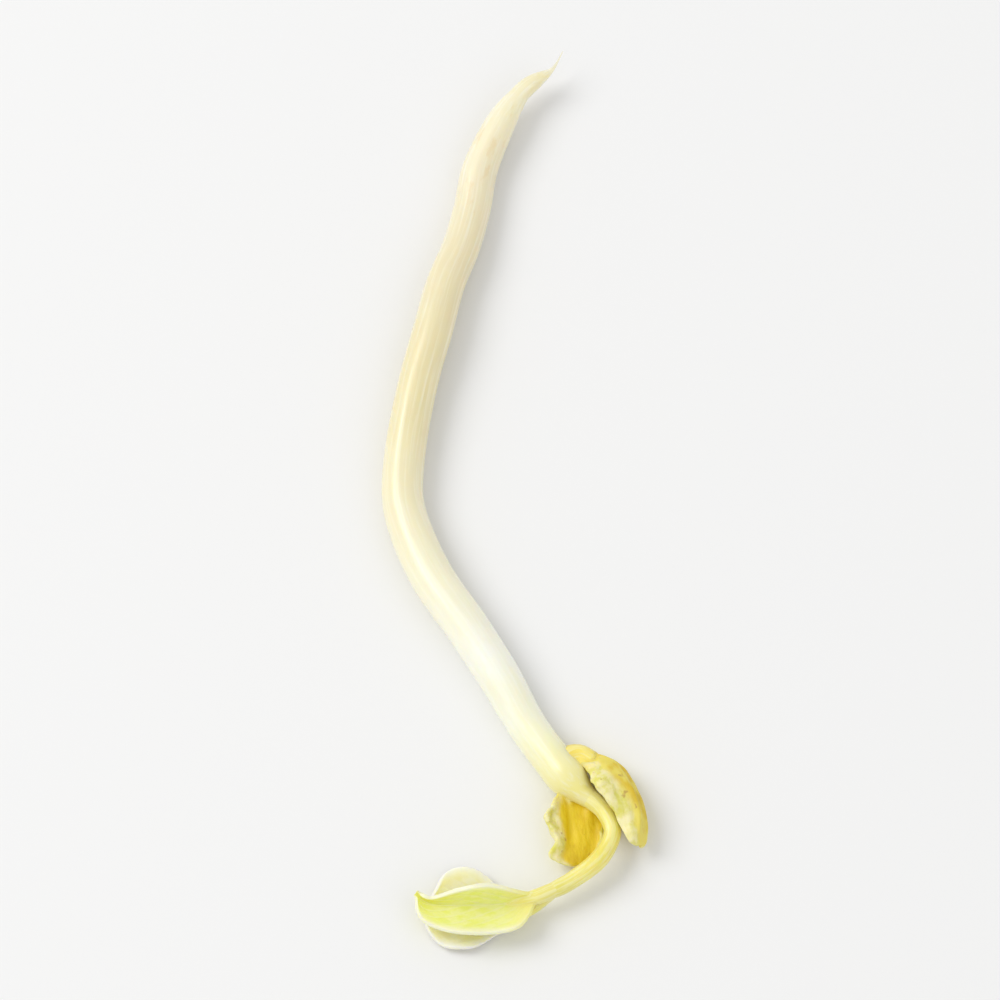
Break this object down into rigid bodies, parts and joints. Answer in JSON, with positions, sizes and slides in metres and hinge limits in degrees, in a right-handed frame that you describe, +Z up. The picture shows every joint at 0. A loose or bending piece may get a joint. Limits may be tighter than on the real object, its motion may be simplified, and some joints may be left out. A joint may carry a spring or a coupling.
{
  "type": "mung bean sprout",
  "caption": "One fresh mung bean sprout lying down: a thick pale stem tapering to its root, split seed halves, a thin hooked shoot and first leaves.",
  "frame": {"origin": "on the table, under the middle of the sprout's footprint", "axes": "+Z up from the table, +Y along the sprout towards its root tip, leaf tips towards -X"},
  "size_m": [0.02, 0.0712, 0.0042],
  "materials": {
    "stem": "moist, waxy and slightly see-through",
    "shoot": "moist, smooth",
    "seed_half": "shrivelled, satin",
    "leaf": "thin leaf, satin, paler at the veins and margin"
  },
  "bodies": {
    "root": {"hypocotyl_with_root": "stem", "epicotyl": "shoot", "cotyledon_front": "seed_half", "cotyledon_back": "seed_half", "leaf_upper": "leaf", "leaf_lower": "leaf"}
  },
  "joints": []
}
